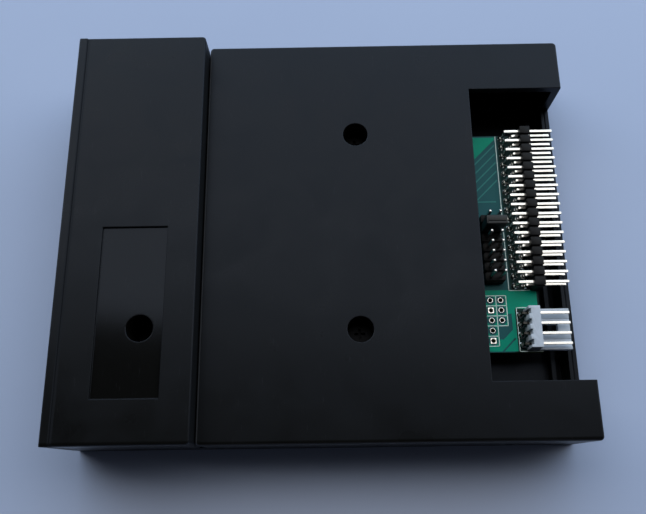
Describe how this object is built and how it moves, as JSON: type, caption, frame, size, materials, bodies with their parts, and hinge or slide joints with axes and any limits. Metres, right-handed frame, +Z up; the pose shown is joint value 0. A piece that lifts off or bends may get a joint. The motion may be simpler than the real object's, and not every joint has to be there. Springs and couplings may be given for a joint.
{
  "type": "floppy drive emulator",
  "caption": "Flat black drive-bay box with a stepped front, rear data, power and jumper pins in an open notch, and a front with display, two buttons, lamp and memory-stick socket.",
  "frame": {"origin": "middle of the base, under the middle of the overall length", "axes": "+Y from the front panel to the rear connectors, +X to the right seen from the front, +Z up"},
  "size_m": [0.1016, 0.1242, 0.0254],
  "materials": {
    "case_plastic": "fine moulded texture, satin black",
    "panel_plastic": "fine moulded texture, satin black",
    "screw_steel": "blackened steel",
    "board_laminate": "green solder mask over glass fibre laminate",
    "header_plastic": "moulded glass-filled polyester, black",
    "pin_tin": "bright tin plated brass",
    "nylon_white": "natural white nylon",
    "cap_plastic": "moulded polyester, dark grey",
    "contact_bronze": "phosphor bronze strip",
    "display_plastic": "moulded black face",
    "display_bar": "milky diffused epoxy",
    "display_tint": "tinted clear acrylic",
    "button_plastic": "moulded ABS, satin black",
    "switch_plastic": "moulded nylon, black",
    "sheet_steel": "nickel plated sheet steel",
    "lamp_lens": "green diffused epoxy",
    "socket_plastic": "moulded white polyester",
    "chip_mould": "moulded black epoxy",
    "can_aluminium": "bare drawn aluminium",
    "capacitor_ceramic": "fired ceramic block, tan",
    "resistor_ceramic": "ceramic chip, black coat"
  },
  "bodies": {
    "case": {"bottom_tray": "case_plastic", "top_cover": "case_plastic", "front_hood": "case_plastic", "front_panel": "panel_plastic", "cover_screws": "screw_steel", "hood_screw": "screw_steel", "circuit_board": "board_laminate", "data_header_body": "header_plastic", "data_header_upper_pins": "pin_tin", "data_header_lower_pins": "pin_tin", "power_header_body": "nylon_white", "power_header_pins": "pin_tin", "jumper_block_body": "header_plastic", "jumper_block_pins": "pin_tin", "display_housing": "display_plastic", "display_segments": "display_bar", "display_leads": "pin_tin", "display_window": "display_tint", "switch_housings": "switch_plastic", "switch_brackets": "sheet_steel", "switch_domes": "sheet_steel", "switch_terminals": "pin_tin", "status_lamp": "lamp_lens", "lamp_holder": "switch_plastic", "lamp_leads": "pin_tin", "usb_shell": "sheet_steel", "usb_tongue": "socket_plastic", "usb_contacts": "contact_bronze", "microcontroller": "chip_mould", "microcontroller_leads": "pin_tin", "clock_crystal": "sheet_steel", "voltage_regulator": "chip_mould", "regulator_leads": "pin_tin", "capacitor_cans": "can_aluminium", "capacitor_feet": "chip_mould", "chip_capacitors": "capacitor_ceramic", "chip_resistors": "resistor_ceramic"},
    "up_button": {"up_button_stem": "button_plastic"},
    "down_button": {"down_button_stem": "button_plastic"},
    "jumper": {"jumper_cap": "cap_plastic", "jumper_cap_contact": "contact_bronze"}
  },
  "joints": [
    {"name": "up_button_press", "type": "slide", "parent": "case", "child": "up_button", "axis": [0, 1, 0], "range_m": [0, 0.0003], "stiffness_N_per_m": 3000},
    {"name": "down_button_press", "type": "slide", "parent": "case", "child": "down_button", "axis": [0, 1, 0], "range_m": [0, 0.0003], "stiffness_N_per_m": 3000},
    {"name": "jumper_cap_pull", "type": "slide", "parent": "case", "child": "jumper", "axis": [0, 0, 1], "range_m": [0, 0.008]}
  ]
}
